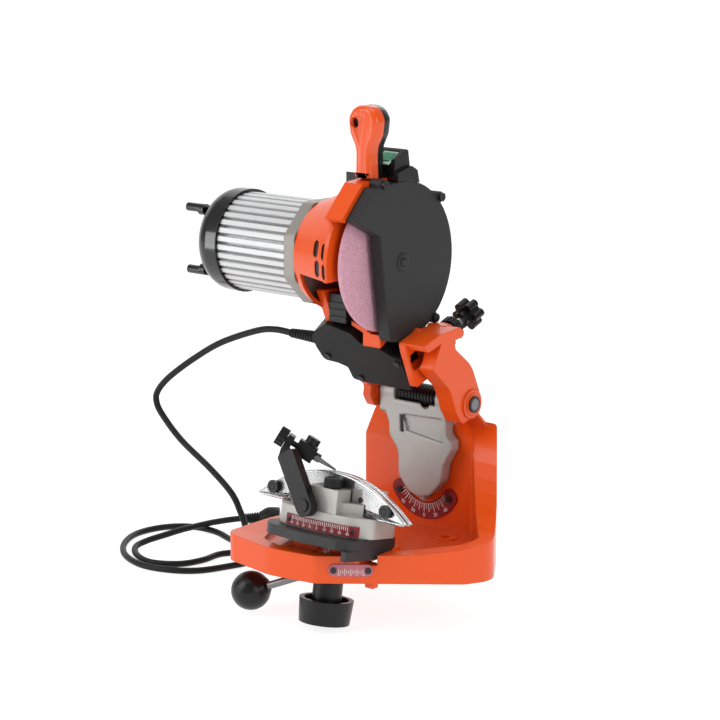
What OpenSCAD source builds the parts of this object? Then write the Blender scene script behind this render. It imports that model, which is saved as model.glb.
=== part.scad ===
// Bench sharpener for saw chain, head raised, in millimetres.
// Origin: midway between the two bench bolts, on the underside of the base.
// +X to the operator's right, +Y to the rear, +Z up.

/* [Grinding wheel] */
// Diameter of the grinding wheel
wheel_d = 145; // [130:1:146]
// Thickness of the grinding wheel
wheel_t = 4.7; // [3.2:0.1:6]
// Bore of the grinding wheel
wheel_bore = 22.2; // [20:0.1:22.4]

/* [Motor] */
// Radius over the cooling fins
motor_r = 51; // [49:0.5:52]
// Number of cooling fins
fins = 36; // [24:2:40]

/* [Base] */
// Distance between the two bench bolt holes
bolt_pitch = 84; // [80:1:88]
// Diameter of the bench bolt holes
bolt_d = 9; // [7:0.5:10]
// Height of the front rim of the tray
rim_h = 28; // [26:1:30]

/* [Vise] */
// Tilt of the vise as it stands, front raised
vise_tilt = 10; // [8:1:10]
// Length of a chain rail
rail_l = 190; // [180:2:200]

/* [Cord] */
// Diameter of the mains cord
cord_d = 7; // [6:0.5:8]

/* [Hidden] */
$fn = 48;
WY = -48; WZ = 303;      // wheel and motor axis
HY = 22;  HZ = 151;      // hinge of the head
TZ = 72;                 // tilt axis of the head
VY = -118; VZ = 98;      // chain line, about which the vise tilts

// ---------- helpers ----------
function unit(v) = v/norm(v);
function rcorner(p0,p1,p2,r,n) = let(a=unit(p0-p1), b=unit(p2-p1), h=acos(max(-0.9999,min(0.9999,a*b)))/2,
  d=r/tan(h), t0=p1+a*d, t1=p1+b*d, o=p1+unit(a+b)*(r/sin(h)), a0=atan2(t0[1]-o[1],t0[0]-o[0]),
  a1=atan2(t1[1]-o[1],t1[0]-o[0]), da=((a1-a0+540)%360)-180) [for(i=[0:n]) o+r*[cos(a0+da*i/n),sin(a0+da*i/n)]];
function rpoly(P,R,n=5) = [for(i=[0:len(P)-1]) each (R[i]<=0 ? [P[i]] : rcorner(P[(i+len(P)-1)%len(P)],P[i],P[(i+1)%len(P)],R[i],n))];
function arc(cx,cy,r,a0,a1,n) = [for(i=[0:n]) [cx+r*cos(a0+(a1-a0)*i/n), cy+r*sin(a0+(a1-a0)*i/n)]];
module exx(x0,x1) translate([x0,0,0]) rotate([90,0,90]) linear_extrude(x1-x0) children();
module exy(y0,y1) translate([0,y1,0]) rotate([90,0,0]) linear_extrude(y1-y0) children();
module cyx(x0,x1,r,y,z,f=48) translate([x0,y,z]) rotate([0,90,0]) cylinder(h=x1-x0,r=r,$fn=f);
module cyy(y0,y1,r,x,z,f=48) translate([x,y0,z]) rotate([-90,0,0]) cylinder(h=y1-y0,r=r,$fn=f);
module cyz(z0,z1,r,x,y,f=48) translate([x,y,z0]) cylinder(h=z1-z0,r=r,$fn=f);
module vise() translate([0,VY,VZ]) rotate([-vise_tilt,0,0]) children();
// tube along a list of points, one closed skin
function cr(p0,p1,p2,p3,t) = 0.5*((2*p1)+(p2-p0)*t+(2*p0-5*p1+4*p2-p3)*t*t+(3*p1-p0-3*p2+p3)*t*t*t);
function smooth(P,k) = [for(i=[0:len(P)-2]) each [for(j=[0:k-1]) cr(P[max(i-1,0)],P[i],P[i+1],P[min(i+2,len(P)-1)],j/k)], P[len(P)-1]];
function tang(Q,i) = unit(Q[min(i+1,len(Q)-1)]-Q[max(i-1,0)]);
function frames(Q,i=0,u=[0,0,1],acc=[]) = i>=len(Q) ? acc : let(t=tang(Q,i), w=unit(u-t*(u*t))) frames(Q,i+1,w,concat(acc,[[t,w]]));
module tube(Q,r,s=8) { F=frames(Q); n=len(Q);
  pts=[for(i=[0:n-1]) let(t=F[i][0],u=F[i][1],v=cross(t,u)) each [for(k=[0:s-1]) Q[i]+r*(cos(360*k/s)*u+sin(360*k/s)*v)]];
  polyhedron(points=pts, faces=concat([[for(k=[s-1:-1:0]) k]],[[for(k=[0:s-1]) (n-1)*s+k]],
   [for(i=[0:n-2]) each [for(k=[0:s-1]) [i*s+k,i*s+(k+1)%s,(i+1)*s+(k+1)%s,(i+1)*s+k]]]), convexity=10); }
// lobed knob outline
module lobes(r,n,d) { circle(r=r,$fn=48); for(i=[0:n-1]) rotate(360*i/n) translate([r,0]) circle(r=d,$fn=24); }

// ---------- base ----------
OUT = rpoly([[-112,-167],[-40,-181],[12,-173],[128,-82],[142,-54],[110,-6],[72,45],[-86,45]],[16,60,14,24,26,60,8,8]);
INN = rpoly([[-66,-160],[-36,-168],[6,-161],[117,-76],[126,-57],[58,24],[-74,24],[-90,-110]],[14,30,12,14,12,6,6,20]);
TOPZ = concat([[-200,0],[-200,rim_h],[-150,rim_h],[-110,30],[-76,37],[-60,40]],
  [for(i=[1:9]) let(t=i/9) [-60+90*t, 40+68*pow(t,2.2)]],[[38,120],[45,128],[60,128],[60,0]]);
module base_casting() color("orangered") difference(){
  union(){
    difference(){
      intersection(){ linear_extrude(140) polygon(OUT); exx(-150,160) polygon(TOPZ); }
      translate([0,0,12]) linear_extrude(200) polygon(INN);
      // the low left wall
      translate([-130,-200,30]) cube([72,224,120]);
      translate([-130,20,30]) cube([46,40,120]);
    }
    // upright panel that carries the pivot
    exy(24,45) intersection(){
      polygon([[-86,0],[-67,54],[-49,103],[-40,136],[40,136],[60,112],[60,0]]);
      union(){ translate([0,TZ]) circle(r=64,$fn=96); translate([-100,-10]) square([200,TZ+10]); }
    }
    exy(40.5,45) polygon(rpoly([[-84,6],[-67,54],[-49,103],[-38,138],[46,138],[62,124],[66,6]],[0,30,20,8,6,6,0]));
    // raised deck under the vise
    intersection(){ translate([-120,-200,12]) cube([300,118,11]); linear_extrude(60) polygon(INN); }
    // bolt bosses
    for(s=[-1,1]) cyz(0,13,12.4,s*bolt_pitch/2,0);
    // pivot boss on the rear
    cyy(24,45,18,0,TZ);
    // pads that take the curved underside of the vise plate
    difference(){ translate([-40,-143,20]) cube([80,38,18]); cyx(-60,60,71.4,VY,VZ,96); }
  }
  // hollow underside
  difference(){ translate([0,0,-1]) linear_extrude(7.5) polygon(rpoly([[-104,-160],[-40,-173],[8,-165],[120,-80],[133,-54],[104,-10],[64,36],[-80,36]],[10,50,10,20,20,50,4,4])); for(s=[-1,1]) cyz(-2,8,12.4,s*bolt_pitch/2,0); }
  difference(){ translate([-96,-158,-1]) cube([180,70,19]); rotate(-8) translate([20,-200,-2]) cube([200,60,30]);
    translate([8,-173,-2]) rotate(39) cube([200,8,30]); translate([8,-173,-2]) rotate(39) translate([0,-60,0]) cube([200,61,30]); }
  // back of the panel
  exy(31,40.2) intersection(){
      polygon([[-78,12],[-60,54],[-42,103],[-34,128],[34,128],[54,108],[54,12]]);
      difference(){ translate([0,TZ]) circle(r=59,$fn=96); translate([0,TZ]) circle(r=18); } }
  cyy(10,60,8.05,0,TZ);
  // slot for the vise stud
  translate([-9,-150,-5]) cube([18,64,60]);
  for(s=[-1,1]) cyz(-1,40,bolt_d/2,s*bolt_pitch/2,0);
  // room for the vise plate and its lip
  cyx(-66,60,71.4,VY,VZ,96);
  translate([46.5,-178,18.5]) cube([14,98,40]); translate([46.5,-127,12.5]) cube([14,47,30]);
  // screw holes of the scales
  for(p=[[-36,45],[28,45]]) cyy(22,30,1.7,p[0],p[1],20);
}
module base_nub() translate([46,-136,-6]) cube([10,8,6.2]);
SCC=[-4,66];
module arcband(r0,r1,a0,a1) polygon(concat(arc(0,0,r1,a0,a1,24),arc(0,0,r0,a1,a0,24)));
module head_tilt_scale() color([0.55,0.18,0.2]) exy(22.4,23.9) difference(){
  translate(SCC) union(){ arcband(29,47,-150,-30); for(a=[-150,-30]) translate(38*[cos(a),sin(a)]) circle(r=9); }
  for(p=[[-36,45],[28,45]]) translate(p) circle(r=1.7,$fn=20); }
module side() translate([12,-173,0]) rotate(38.11) children();
module vise_tilt_scale() color([0.75,0.55,0.6]) side() translate([0,-1.4,0]) exy(0,1.2)
  difference(){ polygon(rpoly([[14,8],[58,8],[58,20],[14,20]],[6,6,6,6])); for(x=[19,53]) translate([x,14]) circle(r=1.6,$fn=20); }
module scale_screws() color([0.12,0.1,0.1]) {
  for(p=[[-36,45],[28,45]]) { cyy(20.4,22.3,3.6,p[0],p[1],24); cyy(22,29,1.6,p[0],p[1],20); }
  side() for(x=[19,53]) { cyy(-3.2,-1.5,3,x,14,24); cyy(-1.6,-0.1,1.5,x,14,20); }
}

// ---------- tilting bracket ----------
BRK = rpoly([[-38,146],[-40,108],[-27,92],[-27,66],[-14,50],[0,46],[14,50],[28,66],[31,84],[41,102],[41,110],[33.4,117],[33.4,146]],[3,14,18,16,12,8,12,16,14,6,3,6,2]);
module tilt_bracket() color([0.72,0.71,0.69]) difference(){
  union(){
    exy(8,21.6) polygon(BRK);
    exy(14,21.6) polygon([[-4,47],[4,47],[4,43.5],[2,41],[-2,41],[-4,43.5]]);
    for(x=[[-52,-33],[20,33]]) { cyx(x[0],x[1],14.5,HY,HZ);
      exx(x[0],x[1]) polygon([[8,146],[8,132],[21.6,122],[32,140],[36,150],[8,151]]); }
    exy(8,21.6) polygon([[-38,146],[-39,118],[-48,140],[-48,151],[-38,151]]);
  }
  cyx(-60,60,6.05,HY,HZ);
  exy(0,11) polygon([[-22,131],[29,133],[30,108],[-17,114]]);
  exy(0,14) polygon([[-26,130],[-21,130],[-20,112],[-25,112]]);
  cyy(0,30,6,7,147,32);
  cyy(11,30,6.02,0,TZ);
  cyx(-33.1,20.1,14.5,HY,HZ);
  translate([-60,23.4,100]) cube([120,40,39.5]);
}
module tilt_pivot_stud() color([0.5,0.5,0.5]) { cyy(11.2,24,6,0,TZ); cyy(24,48,8,0,TZ); cyy(48,66,5,0,TZ); }
module hinge_shaft() color([0.55,0.55,0.56]) cyx(-69,61,6,HY,HZ);
module hinge_circlips() color([0.2,0.2,0.22]) for(x=[-68,59.6]) difference(){ cyx(x,x+1.2,8.6,HY,HZ,32); cyx(x-1,x+3,6,HY,HZ); }
module return_spring() color([0.08,0.08,0.08]) difference(){ cyx(-32.4,19.4,12.6,HY,HZ); cyx(-33,20,9.4,HY,HZ); }
module tilt_lock_knob() color([0.1,0.1,0.11]) difference(){
  union(){ cyy(45.6,54,14,0,TZ); exy(54,68) translate([0,TZ]) lobes(16,6,6.5); }
  cyy(40,48,8.1,0,TZ); cyy(40,66.4,5.05,0,TZ); }

// ---------- cord ----------
CORD = [[-128.2,-45,211.2],[-150,-45,211.8],[-176,-45,207],[-229,-42,187],[-270,-41,164],[-308,-41,138],[-328,-40,119],[-331,-40,106],[-322,-40,92],[-294,-40,68],[-251,-40,43],[-220,-40,21],[-207,-40,2],
 [-204,-36,-14],[-212,-26,-33],[-234,-10,-47],[-266,6,-51],[-300,17,-51],[-334,13,-51],[-356,-10,-51],[-361,-46,-51],[-344,-82,-51],[-314,-110,-51],[-276,-124,-51],[-240,-118,-51],[-214,-100,-51],[-200,-70,-51],[-193,-44,-51],[-203,-25,-51],[-222,-24,-51],[-236,-42,-51],[-236,-70,-51],[-246,-96,-51],[-274,-111,-51],[-304,-102,-51],[-324,-84,-50],[-326,-64,-48],[-319,-42,-45],[-315,-20,-43.5],[-312,2,-43.5],[-308,22,-43.5],[-299,38,-42.5],[-288,49,-41]];
module power_cord() color([0.06,0.06,0.06]) tube(smooth(CORD,2),cord_d/2,8);
PDIR = unit([11,8.5,0.6]);
module plugframe() translate(CORD[len(CORD)-1]) rotate([0,0,atan2(PDIR[1],PDIR[0])]) rotate([0,90,0]) children();
module mains_plug() color([0.09,0.09,0.09]) plugframe() difference(){
  union(){ translate([0,0,0.2]) cylinder(h=20,r1=5,r2=7.4,$fn=32); translate([0,0,19]) cylinder(h=9,r1=7.6,r2=12.6,$fn=32);
    translate([0,0,28]) cylinder(h=16,r=13.2,$fn=48); translate([-8,-16,27]) cube([16,32,9]); }
  for(s=[-1,1]) translate([0,s*9.5,40]) cylinder(h=10,r=2.4,$fn=24); }
module plug_pins() color([0.75,0.72,0.6]) plugframe() for(s=[-1,1]) translate([0,s*9.5,40.1]) cylinder(h=22,r=2.39,$fn=24);

// ---------- head casting ----------
EAR = rpoly([[-5,212],[22,191],[38,157],[33,138],[7,132.5],[-3,146],[-14,172],[-42,197],[-23,232],[-8,222]],[6,40,22,14,4,10,30,3,6,6]);
RIM = [[14,83],[-20,83],[-46,81],[-77,49],[-72,46],[-44,76],[-20,78],[14,78]];
LARM = rpoly([[-78,270],[-62,235],[-28,181],[-1,157],[-3,147],[5,134],[33,137],[37,158],[24,192],[4,222],[-4,262]],[2,10,10,6,5,7,12,14,30,20,2]);
WEB = rpoly([[-54,213],[-38,175],[-4,186],[8,204],[2,232],[-32,230],[-57,223]],[3,3,6,8,8,6,3]);
// frame of the electrical box, leaning forward with the arms
module ebf() translate([0,-29,168]) rotate([33,0,0]) children();
GS = [[WY-30,WZ+79.7],[WY+60,WZ+58],[WY+52,WZ-64]];
module motor_support() color("orangered") difference(){
  union(){
    difference(){
      union(){
        // casing between motor and wheel
        translate([-74.7,WY,WZ]) rotate([0,90,0]) cylinder(h=60.7,r1=53.5,r2=77,$fn=96);
        cyx(-14,-9,80,WY,WZ,96);
        exx(-9.2,8) translate([WY,WZ]) polygon(RIM);
        exx(-14,-9) translate([WY,WZ]) polygon([[14,83],[-20,83],[-46,81],[-77,49],[-60,30],[0,20]]);
      }
      // the front lower side stays clear of the vise and the chain stop
      exx(-64.5,9) translate([WY,WZ]) polygon([[-120,-14],[-24,-14],[-16,-40],[-14,-62],[-14,-120],[-120,-120]]);
      // inside of the casing
      translate([-76,WY,WZ]) rotate([0,90,0]) cylinder(h=58,r1=48.5,r2=71,$fn=96);
      cyx(-20,0,20,WY,WZ);
    }
    difference(){ cyx(-60,-9,24,WY,WZ); cyx(-61,-8,20,WY,WZ); }
    for(p=[GS[1],GS[2]]) cyx(-14,8,5,p[0],p[1],32);
    // left arm, right web and right arm
    exx(-66,-56) polygon(LARM);
    exx(24,32) polygon(WEB);
    exx(36,56) polygon(EAR);
    exx(24,56) polygon(rpoly([[-57,223],[-50,216],[-20,224],[4,222],[10,226],[2,234],[-32,231]],[1,2,8,3,3,6,6]));
    cyx(56,59,11.5,HY,HZ);
    cyx(36,58,15,HY,HZ); cyx(-66,-54,15,HY,HZ);
    // beam between the arms, behind the electrical box
    ebf() translate([-60,26,2]) cube([88,11,52]);
    ebf() translate([-13.3,26,40]) cube([3.9,30,40]);
    // foot of the guard under the wheel
    exx(-14,8) polygon([[-66,216.5],[-66,231],[-50,231],[-50,225]]);
    exx(-13.7,-8.8) polygon([[-66,217],[-66,262],[-20,262],[-20,222],[-29,214.5],[-39.5,231.5],[-50,225]]);
    // boss of the depth screw
    dscrew() translate([0,0,14]) cylinder(h=24,r=12,$fn=48);
    exx(20,42) polygon([[-12,224],[-12,210],[4,204],[14,214],[6,234],[-4,234]]);
  }
  // room for the wheel
  cyx(-5,8.5,75.5,WY,WZ,96);
  // cooling slots
  for(p=[[-33,16],[-18,15],[-29,-3],[-15.5,-4]]) translate([p[0],WY-90,WZ+p[1]]) rotate([-90,0,0]) union(){
     translate([0,-4,0]) cylinder(h=60,r=4.2,$fn=24); translate([0,4,0]) cylinder(h=60,r=4.2,$fn=24); translate([-4.2,-4,0]) cube([8.4,8,60]); }
  // shaft bore, screw bore, guard screw bores
  cyx(-70,70,6.05,HY,HZ);
  dscrew() translate([0,0,-25]) cylinder(h=90,r=5.05,$fn=32);
  dscrew() translate([0,0,-24]) cylinder(h=34,r=9,$fn=32);
  for(p=GS) cyx(0,9,2.1,p[0],p[1],20);
  // room for the wheel guard
  cyx(8.05,22.4,80.4,WY,WZ,96); for(p=GS) cyx(8.05,22.4,6,p[0],p[1],32);
  // room for the cable duct
  translate([-55.4,-72,230]) cube([23,42,44]);
}
GP = concat([[-44,77],[-72,48],[-50,37],[-35,29],[-29,-17],[-20,-76]], arc(0,0,80,-102,93,40));
GI = concat([[-42.5,74],[-67,48.5],[-48,40],[-32.4,31],[-26.4,-17],[-17.8,-72]], arc(0,0,77.4,-101,93,40));
module wheel_guard() color([0.16,0.16,0.165]) difference(){
  union(){ exx(8.3,22) translate([WY,WZ]) polygon(GP); for(p=GS) cyx(8.3,22,5.5,p[0],p[1],32); }
  difference(){ exx(8,19.4) translate([WY,WZ]) polygon(GI); for(p=GS) cyx(8,22,5.5,p[0],p[1],32); }
  for(p=GS) cyx(7,24,2.1,p[0],p[1],20);
}
module guard_screws() color([0.1,0.1,0.1]) for(p=GS) { cyx(1,24.6,2.05,p[0],p[1],20); cyx(22.1,25.4,4.4,p[0],p[1],24); }
HO = rpoly([[-13,386.5],[-12.6,400],[-12.5,416],[-20,430],[-22,446],[-14,458],[8,458],[16,446],[14,430],[7,416],[7.2,400],[8,386.5]],[1,20,20,16,12,14,14,12,16,20,20,1]);
HI = rpoly([[-10,392],[-9.5,416],[-16,430],[-18,446],[-12,454],[6,454],[12,446],[10,430],[4,416],[4,392]],[2,18,14,10,10,10,10,14,18,2]);
module handle_front_shell() color("orangered") difference(){
  exy(-82,-69.2) polygon(HO);
  exy(-79,-69) polygon(HI);
  cyy(-90,-60,4.4,-12,441,24);
}
module handle_rear_shell() color([0.12,0.12,0.12]) difference(){
  exy(-69,-57) polygon(HO);
  exy(-69.1,-60) polygon(HI);
  for(z=[446,420]) cyy(-78,-50,1.7,-3,z,20);
}
module handle_screws() color([0.4,0.4,0.42]) for(z=[446,420]) { cyy(-78,-57,1.65,-3,z,20); cyy(-57,-55,3.4,-3,z,24); }

// ---------- motor ----------
module motor_housing() color([0.8,0.8,0.8]) difference(){
  union(){ cyx(-181,-89,44,WY,WZ,72);
    for(i=[0:fins-1]) translate([-181,WY,WZ]) rotate([360*i/fins,0,0]) translate([0,-2.6,40]) cube([92,5.2,motor_r-40]); 
    cyx(-190.5,-180.9,46.8,WY,WZ,72); }
  cyx(-180.9,-80,40,WY,WZ,72);
  cyx(-185,-180,39.9,WY,WZ,72); cyx(-200,-180,13.02,WY,WZ);
  for(i=[0:5]) rotx(60*i) cyx(-200,-180,6.5,32,0,24);
}
module motor_end_bell() color([0.62,0.6,0.58]) difference(){
  union(){ exx(-88.9,-75) translate([WY,WZ]) polygon(rpoly([for(i=[0:7]) 56*[cos(22.5+45*i),sin(22.5+45*i)]],[for(i=[0:7]) 10]));
    cyx(-88.9,-60.5,17,WY,WZ); }
  cyx(-95,-80,39.9,WY,WZ,72);
  cyx(-95,-62,13.02,WY,WZ); cyx(-70,-50,8,WY,WZ);
  for(a=[45,135,225,315]) cyx(-95,-60,2.05,WY+47.5*cos(a),WZ+47.5*sin(a),20);
}
module motor_tie_screws() color([0.2,0.2,0.2]) for(a=[45,135,225,315]) cyx(-88.8,-75,2,WY+47.5*cos(a),WZ+47.5*sin(a),20);
module stator_core() color([0.45,0.45,0.47]) difference(){ cyx(-165,-110,39.95,WY,WZ,72); cyx(-170,-100,24.6,WY,WZ); }
module stator_windings() color([0.72,0.4,0.2]) for(x=[[-176,-165.1],[-109.9,-97]]) difference(){ cyx(x[0],x[1],37,WY,WZ); cyx(x[0]-1,x[1]+1,26,WY,WZ); }
module bearing(x) difference(){ cyx(x,x+8,13,WY,WZ); cyx(x-1,x+9,5.01,WY,WZ); }
module front_bearing() color([0.7,0.7,0.72]) bearing(-72);
module rear_bearing() color([0.7,0.7,0.72]) bearing(-190);
module fan_cover() color([0.12,0.12,0.12]) difference(){
  union(){
    translate([-181.2,WY,WZ]) rotate([0,-90,0]) rotate_extrude($fn=96) polygon(concat([[0,0],[54,0],[54,14]],[for(i=[0:8]) [30+24*cos(i*9.5),14+22*sin(i*9.5)]],[[30,41],[0,41]]));
    for(a=[[-27,33],[-27,-33],[27,33],[27,-33]]) { cyx(-243,-190,4.6,WY+a[0],WZ+a[1],24); cyx(-226,-190,6,WY+a[0]*0.96,WZ+a[1]*0.96,24); }
  }
  cyx(-184,-170,motor_r+0.5,WY,WZ,96);
  cyx(-218.5,-180,47,WY,WZ,72);
  for(i=[0:11]) translate([-230,WY,WZ]) rotate([30*i,0,0]) translate([0,-2,12]) cube([20,4,14]);
}
module rotx(a) translate([0,WY,WZ]) rotate([a,0,0]) children();
module rotor_shaft() color([0.6,0.6,0.62]) union(){ cyx(-214,-8.5,5,WY,WZ); cyx(-150,-120,6.5,WY,WZ); cyx(-60,-20,6.4,WY,WZ); cyx(-9,14,5.5,WY,WZ,32); }
module rotor_core() color([0.5,0.48,0.46]) difference(){ cyx(-162,-113,24,WY,WZ); cyx(-170,-100,6.52,WY,WZ); }
module cooling_fan() color([0.15,0.15,0.16]) difference(){ union(){ cyx(-205,-200,40,WY,WZ); cyx(-212,-198,11,WY,WZ); for(i=[0:8]) rotx(40*i) translate([-212,10,-1]) cube([9,28,2]); } cyx(-220,-190,5.02,WY,WZ); }
module wheel_flanges() color([0.55,0.55,0.57]) difference(){ union(){ cyx(-8,-2.45,20,WY,WZ); cyx(-8,0,11,WY,WZ); cyx(2.45,6,20,WY,WZ); cyx(0.2,3,11,WY,WZ);} cyx(-20,20,5.52,WY,WZ,32); }
module grinding_wheel() color([0.82,0.6,0.68]) translate([0,WY,WZ]) rotate([0,90,0]) rotate_extrude($fn=96) polygon([[wheel_bore/2,-wheel_t/2],[wheel_d/2-1.5,-wheel_t/2],[wheel_d/2,-wheel_t/2+1.5],[wheel_d/2,wheel_t/2-1.5],[wheel_d/2-1.5,wheel_t/2],[wheel_bore/2,wheel_t/2]]);
module wheel_nut() color([0.6,0.6,0.62]) difference(){ translate([6.1,WY,WZ]) rotate([0,90,0]) cylinder(h=6.5,r=9.8,$fn=6); cyx(0,20,5.52,WY,WZ,32); }

// ---------- switch, electrical box ----------
module switch_box() color([0.17,0.17,0.17]) difference(){
  union(){
    exx(-12,18) polygon(rpoly([[-56,376],[-56,404],[-38,413.5],[-35,412],[-29,376]],[1,2,1,1,1]));
    exx(-26,22) polygon(rpoly([[-56,378],[-56,392],[-34,397],[-25,392],[-21,376]],[1,2,2,2,1]));
    exx(-44,-12) polygon([[-56,366],[-56,388],[-40,384],[-24,366]]);
  }
  translate([3,-48,406]) rotate([28,0,0]) translate([-10,-14,-1]) cube([20,22,12]);
  translate([3,-48,404.6]) rotate([28,0,0]) translate([-7.3,-8.3,-12]) cube([14.6,13.6,20]);
  translate([-9,-53,384]) cube([24,16,18]);
  translate([-75,WY,WZ]) rotate([0,90,0]) cylinder(h=61,r1=53.9,r2=77.5,$fn=96);
  cyx(-14.4,-8.6,80.5,WY,WZ,96); cyx(-9,30,80.5,WY,WZ,96);
  exx(-14.4,8.3) translate([WY,WZ]) polygon([[14.5,83.5],[-60,83.5],[-60,0],[14.5,0]]);
}
module start_button() color([0.45,0.72,0.55]) translate([3,-48,404.6]) rotate([28,0,0]) translate([-7,-8,-4]) cube([14,13,7]);
EB = rpoly([[-88,43],[-82,63],[-59,78.5],[-52,77],[-30,70],[-22,58],[-3,57.5],[12,47],[23,43],[20,0.5],[-43,0.5],[-56,3],[-56,19],[-67,23],[-85,24.5]],[4,4,5,2,3,2,2,3,2,4,3,4,2,3,6]);
EBM = rpoly([[-50.4,2.8],[-43,0.5],[20,0.5],[23,43],[12,47],[-3,57.5],[-22,58],[-30,70],[-50.4,76]],[1,3,4,2,3,2,2,3,1]);
EBL = rpoly([[-88,43],[-82,63],[-66.3,73.5],[-66.3,23.5],[-85,24.5]],[4,4,1,1,6]);
// space taken by the casing
module casing_room() { translate([-75,WY,WZ]) rotate([0,90,0]) cylinder(h=61,r1=53.9,r2=77.5,$fn=96);
  cyx(-14.4,-8.6,80.5,WY,WZ,96); }
module electrical_box() color([0.14,0.14,0.135]) difference(){ eb_shell(); casing_room(); }
module eb_shell() ebf() difference(){
  union(){ exy(0,5.2) polygon(EB); exy(0,21.7) polygon(EBM); exy(0,27.7) polygon(EBL); }
  exy(3,22) polygon([[-47,5],[17,4],[19.5,40],[10,43.5],[-5,54],[-24,54.5],[-33,66],[-47,71]]);
  exy(3,28) polygon([[-83,28],[-84.5,43],[-79.5,60.5],[-69,68],[-69,27]]);
  translate([-95,10,45]) rotate([0,90,0]) cylinder(h=15,r=4.6,$fn=32);
  for(p=EBS) translate([p[0],-1,p[1]]) rotate([-90,0,0]) cylinder(h=5,r=1.7,$fn=20);
}
EBS = [[-77,31],[-44,6],[16,37]];
module electrical_box_cover() color([0.16,0.16,0.155]) difference(){ ebf() { exy(22,24) polygon(EBM); exy(28,30) polygon(EBL); } casing_room(); }
module electrical_box_screws() color([0.3,0.3,0.3]) ebf() for(p=EBS) { translate([p[0],-1.5,p[1]]) rotate([-90,0,0]) cylinder(h=1.4,r=3.6,$fn=24); translate([p[0],-0.2,p[1]]) rotate([-90,0,0]) cylinder(h=3,r=1.65,$fn=20);}
module run_capacitor() color([0.85,0.85,0.83]) ebf() translate([-42,12,20]) rotate([0,90,0]) cylinder(h=50,r=8,$fn=48);
module strain_relief() color([0.08,0.08,0.08]) translate([-81.5,-45.1,211.2]) rotate([0,-90,0]) { cylinder(h=14,r=4.5,$fn=32); translate([0,0,6.9]) cylinder(h=3,r=8,$fn=32); translate([0,0,6.9]) cylinder(h=39,r1=6.6,r2=4.6,$fn=32); }
module cable_duct() color([0.13,0.13,0.13]) difference(){ exx(-55,-33) polygon([[-70,237],[-70,266],[-38,266],[-38,252],[-52,247.5]]); for(z=[243,250,257]) translate([-56,-71,z]) cube([24,2,1.6]); }

// ---------- depth screw ----------
module dscrew() translate([31,-23,209.8]) rotate([-69.3,0,0]) children();
module depth_screw() color([0.6,0.6,0.6]) dscrew() { cylinder(h=66,r=5,$fn=32); translate([0,0,-3]) cylinder(h=3,r1=3,r2=5,$fn=32); }
module depth_screw_knob() color([0.09,0.09,0.09]) dscrew() difference(){ union(){ translate([0,0,62]) cylinder(h=8,r=8.5,$fn=32); translate([0,0,70]) linear_extrude(14) lobes(11,6,4.5);} translate([0,0,60]) cylinder(h=6.1,r=5.03,$fn=32); }
module depth_lock_nut() color([0.09,0.09,0.09]) dscrew() difference(){ union(){ translate([0,0,38.4]) cylinder(h=4,r=8,$fn=32); translate([0,0,42]) linear_extrude(9) lobes(11.5,16,1); } translate([0,0,30]) cylinder(h=30,r=5.03,$fn=32); }

// ---------- vise ----------
module vise_plate() color([0.2,0.2,0.2]) vise() difference(){
  union(){
    intersection(){
      translate([0,0,-71]) linear_extrude(15) polygon(rpoly([[-63,-26],[-50,-46],[0,-54],[46,-50],[56,-40],[58,30],[30,46],[-40,46],[-62,20]],[20,26,60,10,10,20,20,20,30]));
      union(){ cyx(-80,80,71,0,0,96); translate([-80,-80,-66]) cube([160,160,20]); }
    }
    translate([50,-48,-76]) cube([6.5,68,10]);
  }
  translate([0,0,-80]) cylinder(h=40,r=8.06,$fn=48);
}
module vise_stud() color([0.6,0.6,0.6]) vise() { translate([0,0,-122]) cylinder(h=52,r=6,$fn=48); translate([0,0,-71]) cylinder(h=17.7,r=8,$fn=48); }
VB = rpoly([[-58,-16],[-44,-32],[0,-38],[44,-30],[58,-14],[58,26],[36,36],[-36,36],[-58,26]],[16,20,50,20,16,12,12,12,12]);
module vise_body() color([0.75,0.74,0.72]) vise() difference(){
  union(){
    translate([0,0,-55.7]) linear_extrude(20) polygon(VB);
    translate([0,0,-36]) linear_extrude(12) polygon(rpoly([[-50,-14],[-30,-27],[26,-27],[46,-12],[50,26],[-50,26]],[14,14,14,14,8,8]));
    translate([-16,-33,-36]) cube([42,20,24]);
    translate([-44,3.2,-30]) cube([88,20,18]);
  }
  translate([0,0,-60]) cylinder(h=7,r=8.2,$fn=48);
  translate([-52,-12.4,-40]) cube([104,15.45,60]);
  for(x=[-1,1]) translate([x*38,-40,-20]) rotate([-90,0,0]) cylinder(h=80,r=3.05,$fn=24);
  translate([-4,-40,-31]) rotate([-90,0,0]) cylinder(h=20,r=4.03,$fn=24);
}
module swivel_scale() color([0.5,0.08,0.1]) vise() translate([0,0,-54.5]) linear_extrude(10.5) difference(){
  intersection(){ difference(){ offs(1.4) ; polygon(VB); } translate([-34,-60]) square([84,60]); } }
module offs(d) scale([1+d/57,1+d/36]) polygon(VB);
module crescent() polygon(concat([[-rail_l/2,-34]],[for(i=[0:16]) let(t=-1+2*i/16) [rail_l/2*0.985*t, -34+36*(1-pow(abs(t),2.1))]],[[rail_l/2,-34],[rail_l/2-8,-37]],[for(i=[0:10]) let(t=1-2*i/10) [62*t,-37+13*(1-pow(abs(t),2))]],[[-rail_l/2+8,-37]]));
module rear_rail() color([0.9,0.9,0.9]) vise() difference(){ exy(-2.9,3) crescent(); for(x=[-38,38]) translate([x,-10,-20]) rotate([-90,0,0]) cylinder(h=30,r=3.05,$fn=24); for(x=[-72,72]) translate([x,-10,-25]) rotate([-90,0,0]) cylinder(h=30,r=3.05,$fn=24); }
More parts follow.
